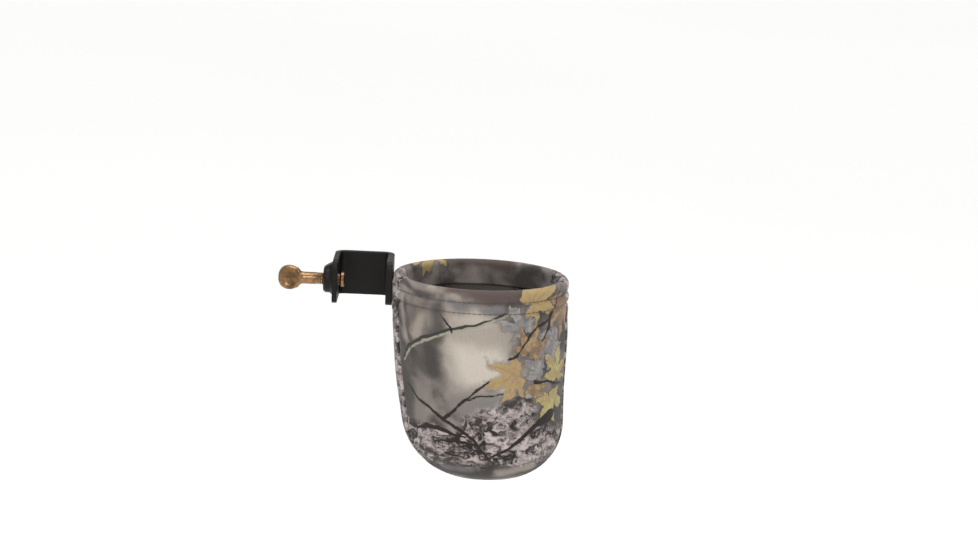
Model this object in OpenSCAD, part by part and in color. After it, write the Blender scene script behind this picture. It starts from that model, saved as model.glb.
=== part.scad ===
// Clamp-on drink holder: a padded cloth pouch on a steel hoop, carried by a C-clamp.
// Millimetres. The origin is on the fixed jaw's gripping face, on the screw's axis.
// +X runs from the post towards the pouch, +Z is up, and the clamp's spine is on the +Y side.

/* [Pouch] */
// outside diameter of the pouch at its mouth
pouch_d = 108.6; // [100:0.2:120]
// height of the pouch from the rolled rim to the base
pouch_h = 126.5; // [112:0.5:160]
// how far below the rim the wall starts to taper
taper_drop = 34; // [28:1:44]
// how much the wall leans in below that, in degrees
taper_angle = 4; // [2:0.5:6]
// radius of the turn from the wall into the base
corner_r = 37; // [30:0.5:38]
// width of the gusset strip between the front and back panels
gusset_w = 32.6; // [26:0.2:44]
// turn of the pouch on its hoop that brings the left seam to the front, in degrees
gusset_turn = 5.5; // [0:0.5:8]
// thickness of the printed outer cloth
cloth_t = 1.2; // [0.8:0.1:1.4]
// thickness of the foam padding
padding_t = 3; // [2.6:0.1:3.4]
// thickness of the lining
lining_t = 0.8; // [0.6:0.1:1]
// depth of the hem that is turned in over the hoop
hem_h = 15.6; // [14:0.2:20]
// radius of the round lining piece under the cup
lining_base_r = 34; // [28:1:36]

/* [Hoop] */
// height of the rolled rim above the screw's axis
rim_z = 7; // [5:0.5:9]
// diameter of the hoop wire
wire_d = 3.8; // [3.4:0.1:4]
// width of the plate under the hoop
plate_w = 22; // [20:0.5:24]
// distance between the two hoop screws
hoop_screw_pitch = 14; // [12:0.5:15]

/* [Clamp] */
// clear distance between the fixed jaw and the screw arm
clamp_gap = 30; // [28:0.5:36]
// height of the clamp's strap
strap_h = 27.4; // [24:0.2:32]
// thickness of the fixed jaw and of the spine
jaw_t = 4; // [3.6:0.1:5]
// thickness of the screw arm
arm_t = 3.2; // [3:0.1:4]
// from the screw's axis to the front ends of the jaws
jaw_reach = 11.5; // [11:0.5:14]
// from the screw's axis to the inside of the spine
throat = 23; // [18:0.5:30]
// diameter of the boss that the screw runs in
boss_d = 17; // [15:0.5:19]
// how far the boss stands out from the arm
boss_l = 5.8; // [5:0.2:7]

/* [Thumb screw] */
// diameter of the screw over its thread
screw_d = 7.4; // [6.4:0.1:8]
// diameter of the round spade head
head_d = 15.2; // [13:0.2:18]
// thickness of the spade head
head_t = 3.6; // [3:0.1:5]
// from the boss to the head at rest
screw_travel = 13.1; // [12.8:0.1:16]
// distance between the jaw and the foot at rest
post_w = 26; // [24:0.5:26.5]
// diameter of the pressure foot
foot_d = 9.2; // [8.6:0.1:10]
// thickness of the pressure foot
foot_t = 2.6; // [2.6:0.1:2.8]

/* [Hidden] */
$fn = 96;
fit_gap = 0.05;            // between layers that lie on each other
run_gap = 0.06;            // radial clearance of a shaft that turns
eps = 0.01;
big = 400;

pouch_r = pouch_d / 2;
pouch_gap = 0.2;           // between the jaw and the cloth that hangs against it
pouch_x = jaw_t + pouch_gap + pouch_r;
base_z = rim_z - pouch_h;
corner_z = base_z + corner_r;
taper_z = rim_z - taper_drop;
corner_x = pouch_r - corner_r - (taper_z - corner_z) * tan(taper_angle);

wire_r = wire_d / 2;
roll_r = wire_r + 0.1 + cloth_t;
hoop_r = pouch_r - roll_r;
wire_z = rim_z - roll_r;
hem_base_z = rim_z - hem_h;
turned_r = pouch_r - 2 * roll_r;
layer_top_z = wire_z - wire_r - 0.5;

padding_in = cloth_t + fit_gap;
lining_in = padding_in + padding_t + fit_gap;
well_in = lining_in + lining_t;

plate_t = 2;
plate_r = hoop_r - 0.5;
plate_base_z = hem_base_z + 2;
plate_window = plate_w / 2 + 0.6;
hoop_screw_z = plate_base_z + 4.4;
hoop_screw_r = 1.95;
hoop_screw_tip_x = 0.6;
washer_r = 4.5;
washer_t = 0.8;
washer_x = pouch_x - turned_r + 0.7;
button_r = 3.8;
button_h = 2.2;

thread_t = 0.35;
thread_w = 0.6;
upper_stitch_z = rim_z - 7.8;
lower_stitch_z = rim_z - 14.4;
seam_stitch_in = 2;

screw_r = screw_d / 2;
arm_x = -clamp_gap;
arm_out_x = arm_x - arm_t;
boss_x = arm_out_x - boss_l;
head_x = boss_x - screw_travel - head_d / 2 - 0.8;
foot_x = -post_w;
foot_back_x = foot_x - foot_t;
pivot_r = 2;
pivot_l = 1.9;
clip_t = 0.4;
clip_r = 2.5;
screw_end_x = foot_back_x - 0.4;

CLOTH = [0.56, 0.53, 0.52];
LINING = [0.40, 0.38, 0.37];
FOAM = [0.22, 0.22, 0.23];
THREAD = [0.30, 0.25, 0.24];
BLACK = [0.05, 0.05, 0.05];
STEEL = [0.70, 0.70, 0.72];
BRASS = [0.72, 0.52, 0.26];

// ---- shared shapes ----

module about_pouch() {
    translate([pouch_x, 0, 0])
        rotate_extrude()
            children();
}

// Everything inside a surface that lies `inset` inside the pouch's outside.
module pouch_solid(inset) {
    side_r = pouch_r - inset;
    turn_r = corner_r - inset;
    about_pouch()
        polygon([[0, wire_z], [side_r, wire_z], [side_r, taper_z],
                 [corner_x + turn_r, corner_z], [0, corner_z]]);
    about_pouch()
        intersection() {
            translate([corner_x, corner_z])
                circle(turn_r);
            translate([0, base_z])
                square([pouch_r, 2 * corner_r]);
        }
    translate([pouch_x, 0, base_z + inset])
        cylinder(r = corner_x, h = turn_r);
}

// One layer of the wall and base, from one inset to the next.
module layer(outer_inset, inner_inset) {
    difference() {
        pouch_solid(outer_inset);
        pouch_solid(inner_inset);
    }
}

// Half section of an arch of the given radius over the hoop, with legs down to low_z.
module hem_arch(r, low_z) {
    translate([hoop_r, wire_z])
        circle(r);
    translate([hoop_r - r, low_z])
        square([2 * r, wire_z - low_z]);
}

// The outer cloth all round: wall and base, then over the hoop and down inside.
module outer_cloth() {
    layer(0, cloth_t);
    about_pouch()
        difference() {
            hem_arch(roll_r, hem_base_z);
            hem_arch(roll_r - cloth_t, hem_base_z - 1);
        }
}

// The part of a shape between two planes that run along the gusset.
module along_gusset(from_y, to_y) {
    intersection() {
        children();
        translate([pouch_x, 0, 0])
            rotate([0, 0, gusset_turn])
                translate([-big / 2, from_y, -big / 2])
                    cube([big, to_y - from_y, big]);
    }
}

// The part of a shape below a height.
module below(z) {
    intersection() {
        children();
        translate([-big / 2, -big / 2, z - big])
            cube(big);
    }
}

// The round space under the cup that the base pieces of padding and lining fill.
module base_space(r) {
    translate([pouch_x, 0, base_z - 1])
        cylinder(r = r, h = corner_r);
}

// Space kept clear for the hoop plate, on the clamp's side of the pouch.
module plate_space(half_w, low_z) {
    translate([0, -half_w, low_z])
        cube([pouch_x - 10, 2 * half_w, big]);
}

// Repeats a shape at the two hoop screws, along +X.
module at_hoop_screws(x) {
    for (side = [-1, 1])
        translate([x, side * hoop_screw_pitch / 2, hoop_screw_z])
            rotate([0, 90, 0])
                children();
}

module hoop_screw_holes() {
    at_hoop_screws(-eps)
        cylinder(r = hoop_screw_r + fit_gap, h = 20);
}

module along_x(x) {
    translate([x, 0, 0])
        rotate([0, 90, 0])
            children();
}

// A full ring of thread that lies on the cloth, left open at the hoop plate.
module hem_stitch(z) {
    difference() {
        about_pouch()
            translate([pouch_r + eps, z - thread_w / 2])
                square([thread_t, thread_w]);
        plate_space(plate_window, -big / 2);
    }
}

// Thread that follows one edge of the gusset from hem to hem, under the base.
module seam_thread(side) {
    mid = side * (gusset_w / 2 + seam_stitch_in);
    along_gusset(mid - thread_w / 2, mid + thread_w / 2)
        below(hem_base_z - 1)
            layer(-thread_t, -eps);
}

// ---- clamp ----

// Plan of the bent strap: two jaws joined by a spine with rounded outer corners.
module clamp_plan() {
    outer_r = 7;
    inner_r = 3;
    wide = jaw_t - arm_out_x;
    rear_y = throat + jaw_t;
    difference() {
        union() {
            translate([arm_out_x, -jaw_reach])
                square([wide, jaw_reach + rear_y - outer_r]);
            translate([arm_out_x + outer_r, 0])
                square([wide - 2 * outer_r, rear_y]);
            for (x = [arm_out_x + outer_r, jaw_t - outer_r])
                translate([x, rear_y - outer_r])
                    circle(outer_r);
        }
        translate([arm_x, -jaw_reach - 1])
            square([clamp_gap, jaw_reach + 1 + throat - inner_r]);
        translate([arm_x + inner_r, 0])
            square([clamp_gap - 2 * inner_r, throat]);
        for (x = [arm_x + inner_r, -inner_r])
            translate([x, throat - inner_r])
                circle(inner_r);
    }
}

// Side view of the strap, as [y, z]: rounded at the jaws' front ends.
module clamp_side() {
    end_r = 5;
    for (z = [-1, 1])
        translate([-jaw_reach + end_r, z * (strap_h / 2 - end_r)])
            circle(end_r);
    translate([-jaw_reach, -strap_h / 2 + end_r])
        square([end_r, strap_h - 2 * end_r]);
    translate([-jaw_reach + end_r, -strap_h / 2])
        square([jaw_reach - end_r + throat + jaw_t, strap_h]);
}

module boss() {
    flare = 1.6;
    chamfer = 1.2;
    boss_r = boss_d / 2;
    translate([arm_out_x + eps, 0, 0])
        rotate([0, -90, 0])
            rotate_extrude()
                polygon([[0, 0], [boss_r + flare, 0], [boss_r, flare], [boss_r, boss_l - chamfer],
                         [boss_r - chamfer, boss_l], [0, boss_l]]);
}

// Sloping web that stiffens the top of the boss.
module boss_rib() {
    rib_w = 9;
    rib_rise = 2.4;
    boss_r = boss_d / 2;
    translate([0, rib_w / 2, 0])
        rotate([90, 0, 0])
            linear_extrude(rib_w)
                polygon([[boss_x + 1.4, boss_r - 1.5], [boss_x + 1.4, boss_r - 0.3],
                         [arm_out_x + 0.5, boss_r + rib_rise], [arm_out_x + 0.5, boss_r - 1.5]]);
}

module clamp_frame() color(BLACK) {
    difference() {
        union() {
            intersection() {
                translate([0, 0, -strap_h / 2])
                    linear_extrude(strap_h)
                        clamp_plan();
                translate([arm_out_x - 1, 0, 0])
                    rotate([90, 0, 90])
                        linear_extrude(jaw_t - arm_out_x + 2)
                            clamp_side();
            }
            boss();
            boss_rib();
        }
        along_x(boss_x - 1)
            cylinder(r = screw_r + run_gap, h = boss_l + arm_t + 2);
        hoop_screw_holes();
    }
}

// ---- thumb screw ----

// Flat round head that narrows into the shank, with a thumb hollow on each face.
module spade_head() {
    hollow_r = 5;
    hollow_depth = 0.5;
    shoulder_x = head_d / 2 + 1.6;
    difference() {
        translate([head_x, head_t / 2, 0])
            rotate([90, 0, 0])
                linear_extrude(head_t) {
                    circle(d = head_d);
                    polygon([[head_d * 0.25, head_d * 0.43], [shoulder_x, screw_r],
                             [shoulder_x, -screw_r], [head_d * 0.25, -head_d * 0.43]]);
                }
        for (side = [-1, 1])
            translate([head_x, side * (head_t / 2 - hollow_depth / 2 + eps), 0])
                rotate([90, 0, 0])
                    cylinder(r = hollow_r, h = hollow_depth + 2 * eps, center = true);
    }
}

module thumb_screw() color(BRASS) {
    chamfer = 0.8;
    shank_start_x = head_x + head_d / 2 - 1.5;
    shank_l = screw_end_x - shank_start_x;
    spade_head();
    difference() {
        along_x(shank_start_x)
            rotate_extrude()
                polygon([[0, 0], [screw_r, 0], [screw_r, shank_l - chamfer],
                         [screw_r - chamfer, shank_l], [pivot_r, shank_l],
                         [pivot_r, shank_l + 0.4 + pivot_l], [0, shank_l + 0.4 + pivot_l]]);
        along_x(foot_back_x + 0.8)
            difference() {
                cylinder(r = pivot_r + 1, h = clip_t + 0.1);
                translate([0, 0, -1])
                    cylinder(r = pivot_r - 0.4, h = 3);
            }
    }
}

// Spring ring in the pivot's groove that keeps the foot on the screw.
module foot_clip() color(STEEL) {
    along_x(foot_back_x + 0.85)
        difference() {
            cylinder(r = clip_r, h = clip_t);
            translate([0, 0, -1])
                cylinder(r = pivot_r - 0.4 + fit_gap, h = 3);
        }
}

module pressure_foot() color(BRASS) {
    foot_r = foot_d / 2;
    rim = 0.5;
    difference() {
        along_x(foot_back_x)
            rotate_extrude()
                polygon([[0, 0], [foot_r - rim, 0], [foot_r, rim], [foot_r, foot_t - rim],
                         [foot_r - rim, foot_t], [0, foot_t]]);
        along_x(foot_back_x - eps)
            cylinder(r = pivot_r + run_gap, h = pivot_l + 0.2);
        along_x(foot_back_x + 0.7)
            cylinder(r = clip_r + 0.15, h = clip_t + 0.3);
    }
}

// ---- hoop ----

module hoop_wire() color(STEEL) {
    about_pouch()
        translate([hoop_r, wire_z])
            circle(wire_r);
}

// Curved plate whose top edge is a seat for the hoop.
module hoop_plate() color(STEEL) {
    difference() {
        intersection() {
            about_pouch()
                difference() {
                    translate([plate_r, plate_base_z])
                        square([plate_t, wire_z - plate_base_z]);
                    translate([hoop_r, wire_z])
                        circle(wire_r + eps);
                }
            plate_space(plate_w / 2, -big / 2);
        }
        hoop_screw_holes();
    }
}

module hoop_screws() color(STEEL) {
    head_base = washer_x + washer_t;
    difference() {
        union() {
            at_hoop_screws(hoop_screw_tip_x)
                cylinder(r = hoop_screw_r, h = head_base - hoop_screw_tip_x + 0.5);
            at_hoop_screws(head_base + eps)
                rotate_extrude()
                    polygon([[0, 0], [button_r, 0], [button_r, 0.8],
                             [button_r - 1.5, button_h], [0, button_h]]);
        }
        at_hoop_screws(head_base + 0.9)
            cylinder(r = 1.4, h = 3, $fn = 6);
    }
}

module hoop_washers() color(STEEL) {
    at_hoop_screws(washer_x)
        difference() {
            cylinder(r = washer_r, h = washer_t);
            translate([0, 0, -1])
                cylinder(r = hoop_screw_r + 0.1, h = washer_t + 2);
        }
}

// ---- pouch ----

module outer_front_panel() color(CLOTH) {
    along_gusset(-big / 2, -gusset_w / 2 - fit_gap)
        outer_cloth();
}

module outer_back_panel() color(CLOTH) {
    along_gusset(gusset_w / 2 + fit_gap, big / 2)
        outer_cloth();
}

module outer_gusset() color(CLOTH) {
    difference() {
        along_gusset(-gusset_w / 2, gusset_w / 2)
            outer_cloth();
        hoop_screw_holes();
        at_hoop_screws(washer_x - eps)
            cylinder(r = washer_r + fit_gap, h = 5);
    }
}

// The wall part of a layer, from under the hoop down to the round base piece.
module wall_layer(outer_inset, inner_inset) {
    difference() {
        below(layer_top_z)
            layer(outer_inset, inner_inset);
        base_space(lining_base_r + fit_gap);
    }
}

module base_layer(outer_inset, inner_inset) {
    intersection() {
        layer(outer_inset, inner_inset);
        base_space(lining_base_r);
    }
}

module padding_wall() color(FOAM) {
    difference() {
        wall_layer(padding_in, padding_in + padding_t);
        plate_space(plate_window, plate_base_z - 0.5);
    }
}

module padding_base() color(FOAM) {
    base_layer(padding_in, padding_in + padding_t);
}

module lining_wall() color(LINING) {
    difference() {
        wall_layer(lining_in, well_in);
        hoop_screw_holes();
    }
}

module lining_base() color(LINING) {
    base_layer(lining_in, well_in);
}

// Bound seam that stands up where the lining's wall meets its base piece.
module lining_seam() color(THREAD) {
    bead_r = 1.1;
    well_r = corner_r - well_in;
    angle = acos((lining_base_r - corner_x) / well_r);
    reach = well_r - bead_r - fit_gap;
    about_pouch()
        translate([corner_x + reach * cos(angle), corner_z - reach * sin(angle)])
            circle(bead_r);
}

module hem_stitch_upper() color(THREAD) {
    hem_stitch(upper_stitch_z);
}

module hem_stitch_lower() color(THREAD) {
    hem_stitch(lower_stitch_z);
}

module seam_thread_front() color(THREAD) {
    seam_thread(-1);
}

module seam_thread_back() color(THREAD) {
    seam_thread(1);
}

clamp_frame();
thumb_screw();
pressure_foot();
foot_clip();
hoop_wire();
hoop_plate();
hoop_screws();
hoop_washers();
outer_front_panel();
outer_gusset();
outer_back_panel();
padding_wall();
padding_base();
lining_wall();
lining_base();
lining_seam();
hem_stitch_upper();
hem_stitch_lower();
seam_thread_front();
seam_thread_back();
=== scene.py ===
"""Looks of the clamp-on drink holder pouch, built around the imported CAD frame.

Everything is in metres in the CAD's frame: +X from the post towards the pouch, +Z up, spine on the +Y side.
Sizes that belong to the cloth are written in millimetres and multiplied by MM.
"""

import functools
import math

import bmesh
import bpy
import numpy as np
from mathutils import Matrix, Vector


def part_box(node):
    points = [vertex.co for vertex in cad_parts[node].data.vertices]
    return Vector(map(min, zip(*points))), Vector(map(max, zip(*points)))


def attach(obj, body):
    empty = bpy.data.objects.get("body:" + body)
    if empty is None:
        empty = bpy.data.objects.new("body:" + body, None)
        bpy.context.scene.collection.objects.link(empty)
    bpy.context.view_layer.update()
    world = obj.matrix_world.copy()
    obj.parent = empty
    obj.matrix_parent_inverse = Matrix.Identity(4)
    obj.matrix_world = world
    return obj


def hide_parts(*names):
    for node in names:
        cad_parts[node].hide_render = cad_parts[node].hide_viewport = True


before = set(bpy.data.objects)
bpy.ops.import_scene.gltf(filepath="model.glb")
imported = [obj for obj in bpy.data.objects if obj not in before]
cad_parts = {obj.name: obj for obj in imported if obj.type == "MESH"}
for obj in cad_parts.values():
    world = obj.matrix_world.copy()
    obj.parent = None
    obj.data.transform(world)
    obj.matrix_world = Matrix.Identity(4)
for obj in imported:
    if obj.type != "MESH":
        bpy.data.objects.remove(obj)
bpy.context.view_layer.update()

MM = 0.001

# ---- layout, read from the frame ----

wire_low, wire_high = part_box("hoop_wire")
cloth_low, cloth_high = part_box("outer_gusset")
CAD_THREAD_R = 0.3 * MM
POUCH_X = (wire_low.x + wire_high.x) / 2
AXIS = np.array([POUCH_X, 0.0])  # x and y of the pouch's own upright axis
WIRE_R = (wire_high.z - wire_low.z) / 2
WIRE_Z = (wire_high.z + wire_low.z) / 2
HOOP_R = (wire_high.x - wire_low.x) / 2 - WIRE_R
POUCH_R = cloth_high.x - POUCH_X
RIM_Z = cloth_high.z
BASE_Z = cloth_low.z
ROLL_R = RIM_Z - WIRE_Z
UPPER_STITCH_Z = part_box("hem_stitch_upper")[0].z + CAD_THREAD_R
LOWER_STITCH_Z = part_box("hem_stitch_lower")[0].z + CAD_THREAD_R
HEM_BASE_Z = RIM_Z - 15.6 * MM  # the turned-in cloth ends here

# ---- cloth sizes that the frame's boxes don't give ----

TAPER_Z = RIM_Z - 34 * MM  # where the wall starts to lean in
CORNER_R = 37 * MM  # turn from the wall into the base
CORNER_X = 13.4 * MM  # radius at the centre of that turn
CORNER_Z = BASE_Z + CORNER_R  # and its height
GUSSET_HALF = 16.3 * MM
GUSSET_TURN = math.radians(5.5)  # its middle is this far round from the clamp
CLOTH_T = 1.1 * MM
LINING_OUT = 2.1 * MM  # the padded lining starts this far inside the cloth's outside
LINING_IN = 5.1 * MM
PLATE_HALF = 11.6 * MM  # no stitches cross the hoop plate
LEAN = 7.0 * MM  # how far the base hangs out of line, away from the post
COLUMNS = 184
GUSSET_CUT_Y = 800 * MM  # the place in the print that the gusset's middle is cut from
LINING_CUT_Y = 18 * MM  # and the lining's top

# slow swells of the hanging wall: share of the radius, waves round the pouch, twist down it, start
SWELLS = [(0.012, 2, 0, 0.7), (0.008, 3, -5, 0), (0.006, 5, 9, 0)]

# relief of the hem's outside: height, how far the cloth is drawn in, half width
HEM_RELIEF = [
    (UPPER_STITCH_Z, 1.1 * MM, 1.3 * MM),
    (LOWER_STITCH_Z, 1.1 * MM, 1.3 * MM),
    ((UPPER_STITCH_Z + LOWER_STITCH_Z) / 2, -0.75 * MM, 1.8 * MM),
    (LOWER_STITCH_Z - 4 * MM, -0.5 * MM, 2.4 * MM),
    (UPPER_STITCH_Z + 4 * MM, -0.4 * MM, 2.4 * MM),
]

# how the simulated cloth swells, and how far a point may move
SWELL_FRAMES = 20
MOST_OUT = 2.2 * MM
MOST_IN = 0.4 * MM
MOST_ALONG = 1.0 * MM

# a stitch: its length, the gap to the next, and how far its middle stands off the cloth
HEM_STITCH = {"length": 2.5 * MM, "gap": 0.7 * MM, "lift": 0.22 * MM}
SEAM_STITCH = {"length": 2.2 * MM, "gap": 0.8 * MM, "lift": 0.2 * MM}
STITCH_ARCH = [(0, -0.9), (0.12, 0.35), (0.5, 1.0), (0.88, 0.35), (1, -0.9)]  # share of length, share of lift
HEM_THREAD_R = 0.22 * MM
SEAM_THREAD_R = 0.18 * MM
SEAM_STITCH_OFF = 2.0 * MM  # the seam's stitches run this far outside the gusset

SCREW_IN = 12.2 * MM  # the screw's travel into the boss, from rest
SCREW_SIDES = 96
SCREW_TURNS = np.linspace(0, 2 * math.pi, SCREW_SIDES, endpoint=False)


# ---- mesh helpers ----

def place(name, data):
    """A new object in the scene, with its mesh, light or camera."""
    obj = bpy.data.objects.new(name, data)
    bpy.context.scene.collection.objects.link(obj)
    return obj


def shade_smooth(mesh):
    mesh.polygons.foreach_set("use_smooth", [True] * len(mesh.polygons))


def add_object(name, verts, faces):
    mesh = bpy.data.meshes.new(name)
    mesh.from_pydata([tuple(v) for v in verts], [], faces)
    mesh.update()
    shade_smooth(mesh)
    return place(name, mesh)


def lengths_along(path):
    """Length from a polyline's first point to each of its points."""
    steps = np.linalg.norm(np.diff(path, axis=0), axis=1)
    return np.concatenate([[0], np.cumsum(steps)])


def points_at(wanted, along, path):
    """Points of a polyline at wanted lengths, where along has its own points' lengths."""
    return np.stack([np.interp(wanted, along, column) for column in path.T], axis=-1)


def resample(path, step):
    """The same polyline with points about one step apart."""
    path = np.array(path, float)
    along = lengths_along(path)
    count = max(2, int(round(along[-1] / step)) + 1)
    return points_at(np.linspace(0, along[-1], count), along, path)


def eased(value, low, high):
    """The value's place between low and high, from 0 to 1, with no kink at either end."""
    share = np.clip((value - low) / (high - low), 0, 1)
    return share ** 2 * (3 - 2 * share)


def valley(distance, width):
    """A smooth bell: 1 where the distance is 0, and near 0 from about twice the width."""
    return np.exp(-(distance / width) ** 2)


def arc(centre_r, centre_z, radius, start, end, count):
    """Points (radius, z) of an arc between two angles in degrees."""
    return [(centre_r + radius * math.cos(a), centre_z + radius * math.sin(a))
            for a in np.radians(np.linspace(start, end, count))]


def ring_faces(rows, columns):
    """Quads of a tube whose rows are closed rings of vertices."""
    return [(a * columns + b, a * columns + (b + 1) % columns,
             (a + 1) * columns + (b + 1) % columns, (a + 1) * columns + b)
            for a in range(rows - 1) for b in range(columns)]


def tube_faces(rows, columns, start=0):
    """Faces of a tube with a flat cap at each end, whose vertices begin at an index."""
    caps = [tuple(reversed(range(columns))), tuple((rows - 1) * columns + b for b in range(columns))]
    return [tuple(start + i for i in face) for face in ring_faces(rows, columns) + caps]


def pole_faces(pole, columns):
    """Triangles from a pole to the first ring of vertices."""
    return [(pole, (b + 1) % columns, b) for b in range(columns)]


def revolve(path, columns):
    """Vertices [row, column, xyz] of a path of (radius, z) turned about the pouch's axis, from the front."""
    turn = np.linspace(0, 2 * math.pi, columns, endpoint=False)
    path = np.array(path)
    x = POUCH_X + path[:, :1] * np.sin(turn)[None, :]
    y = -path[:, :1] * np.cos(turn)[None, :]
    z = np.repeat(path[:, 1:2], columns, axis=1)
    return np.stack([x, y, z], axis=2)


def revolved_solid(path, columns):
    """Vertices and faces of a solid turned from a path whose two ends are on the axis."""
    poles = [[POUCH_X, 0, path[0][1]], [POUCH_X, 0, path[-1][1]]]
    verts = np.concatenate([revolve(path[1:-1], columns).reshape(-1, 3), poles])
    rows = len(path) - 2
    first, last = rows * columns, rows * columns + 1
    end = (rows - 1) * columns
    faces = ring_faces(rows, columns) + pole_faces(first, columns)
    faces += [(last, end + b, end + (b + 1) % columns) for b in range(columns)]
    return verts, faces


def tubes(name, paths, radius, sides=6):
    """One object of many short round tubes with closed, tapered ends."""
    end_size = 0.45
    angle = (2 * math.pi * np.arange(sides) / sides)[None, :, None]
    verts, faces = [], []
    for path in paths:
        tangents = np.gradient(path, axis=0)
        tangents /= np.linalg.norm(tangents, axis=1, keepdims=True)
        reference = [0, 0, 1] if abs(tangents[0][2]) < 0.9 else [1, 0, 0]
        side = np.cross(tangents, reference)
        side /= np.linalg.norm(side, axis=1, keepdims=True)
        up = np.cross(side, tangents)
        size = np.full((len(path), 1, 1), radius)
        size[[0, -1]] *= end_size
        faces += tube_faces(len(path), sides, len(verts))
        rings = path[:, None] + size * (np.cos(angle) * side[:, None] + np.sin(angle) * up[:, None])
        verts.extend(rings.reshape(-1, 3))
    return add_object(name, verts, faces)


def apply_modifiers(obj):
    """Replaces the object's mesh with what its modifiers make of it, and removes them."""
    bpy.context.view_layer.update()
    depsgraph = bpy.context.evaluated_depsgraph_get()
    mesh = bpy.data.meshes.new_from_object(obj.evaluated_get(depsgraph))
    obj.modifiers.clear()
    obj.data = mesh
    shade_smooth(mesh)


def soft_edged(name, node, voxel):
    """A copy of a CAD node with its edges worn round, as a casting or a turned piece has them."""
    obj = place(name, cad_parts[node].data.copy())
    obj.data.materials.clear()
    remesh = obj.modifiers.new("remesh", "REMESH")
    remesh.mode = "VOXEL"
    remesh.voxel_size = voxel
    smooth = obj.modifiers.new("smooth", "SMOOTH")
    smooth.factor = 0.5
    smooth.iterations = 5
    apply_modifiers(obj)
    return obj


def finish_piece(obj, body, material, slot, *nodes):
    """Gives a piece its material, lets it ride on a body, and hides the CAD nodes it stands for. slot is not
    used.
    """
    obj.data.materials.clear()
    obj.data.materials.append(material)
    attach(obj, body)
    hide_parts(*nodes)


# ---- shader helpers ----

def linear(*colour):
    """Red, green and blue as the eye reads them, 0 to 255, turned into the shader's linear values."""
    shares = [c / 255 for c in colour]
    return tuple(c / 12.92 if c <= 0.04045 else ((c + 0.055) / 1.055) ** 2.4 for c in shares) + (1.0,)


class Net:
    """Short calls for building a node tree."""

    def __init__(self, tree):
        self.tree = tree

    def node(self, kind, inputs=(), **settings):
        """A node. inputs has (socket name or number, value or link), settings its other properties."""
        made = self.tree.nodes.new(kind)
        for key, value in settings.items():
            setattr(made, key, value)
        for socket, value in inputs:
            self.put(made.inputs[socket], value)
        return made

    def put(self, socket, value):
        if isinstance(value, bpy.types.NodeSocket):
            self.tree.links.new(value, socket)
        else:
            socket.default_value = value

    def math(self, operation, a, b=0.0, clamp=False):
        return self.node("ShaderNodeMath", [(0, a), (1, b)], operation=operation, use_clamp=clamp).outputs[0]

    def fold(self, operation, values):
        """One value from several, by an operation on two."""
        return functools.reduce(lambda a, b: self.math(operation, a, b), values)

    def vector(self, operation, *vectors, scale=None):
        inputs = list(enumerate(vectors))
        if scale is not None:
            inputs.append(("Scale", scale))
        made = self.node("ShaderNodeVectorMath", inputs, operation=operation)
        return made.outputs["Value" if operation in ("DOT_PRODUCT", "LENGTH", "DISTANCE") else "Vector"]

    def split(self, vector):
        return self.node("ShaderNodeSeparateXYZ", [(0, vector)]).outputs

    def span(self, value, low, high, to_low=0.0, to_high=1.0):
        """The value's place between low and high, eased, and clamped at both ends."""
        inputs = enumerate((value, low, high, to_low, to_high))
        return self.node("ShaderNodeMapRange", inputs, interpolation_type="SMOOTHSTEP").outputs[0]

    def mix(self, factor, a, b, blend="MIX"):
        inputs = [(0, factor), (6, a), (7, b)]
        return self.node("ShaderNodeMix", inputs, data_type="RGBA", blend_type=blend).outputs[2]

    def ramp(self, value, stops):
        """A colour from stops of (position, colour)."""
        made = self.node("ShaderNodeValToRGB", [(0, value)])
        elements = made.color_ramp.elements
        while len(elements) < len(stops):
            elements.new(0.5)
        for element, (position, colour) in zip(elements, stops):
            element.position = position
            element.color = colour
        return made.outputs[0]

    def noise(self, vector, scale, detail=3.0, roughness=0.5, distortion=0.0, colour=False):
        made = self.node("ShaderNodeTexNoise", [("Vector", vector), ("Scale", scale), ("Detail", detail),
                                                ("Roughness", roughness), ("Distortion", distortion)])
        return made.outputs[1 if colour else 0]

    def stretch(self, vector, scale, turn=0.0):
        inputs = [("Vector", vector), ("Rotation", (0, 0, turn)), ("Scale", scale)]
        return self.node("ShaderNodeMapping", inputs).outputs[0]

    def bump(self, height, strength, distance):
        inputs = [("Height", height), ("Strength", strength), ("Distance", distance)]
        return self.node("ShaderNodeBump", inputs).outputs[0]

    def object_coords(self):
        return self.node("ShaderNodeTexCoord").outputs["Object"]


def new_material(name, **settings):
    """A material and its net and shader. Settings are sockets of the shader that are the same all over."""
    material = bpy.data.materials.new(name)
    material.use_nodes = True
    net = Net(material.node_tree)
    shader = material.node_tree.nodes["Principled BSDF"]
    for socket, value in settings.items():
        shader.inputs[socket.replace("_", " ")].default_value = value
    return material, net, shader


def dress(net, shader, colour, height, strength, distance, roughness=None):
    """Gives a shader its colour, a bump and, where it changes over the surface, its roughness."""
    net.put(shader.inputs["Base Color"], colour)
    net.put(shader.inputs["Normal"], net.bump(height, strength, distance))
    if roughness is not None:
        net.put(shader.inputs["Roughness"], roughness)


def new_group(name, vectors, numbers, results):
    """A node group with its net, its inputs by name and its results, which are numbers."""
    tree = bpy.data.node_groups.new(name, "ShaderNodeTree")
    for socket in vectors + numbers + results:
        tree.interface.new_socket(socket, in_out="OUTPUT" if socket in results else "INPUT",
                                  socket_type="NodeSocketVector" if socket in vectors else "NodeSocketFloat")
    net = Net(tree)
    return tree, net, net.node("NodeGroupInput").outputs, net.node("NodeGroupOutput").inputs


# ---- the printed pattern: twigs, leaves and bark, in millimetres of flat cloth ----
# x runs to the right from the panel's middle and y down from the rim.

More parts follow.
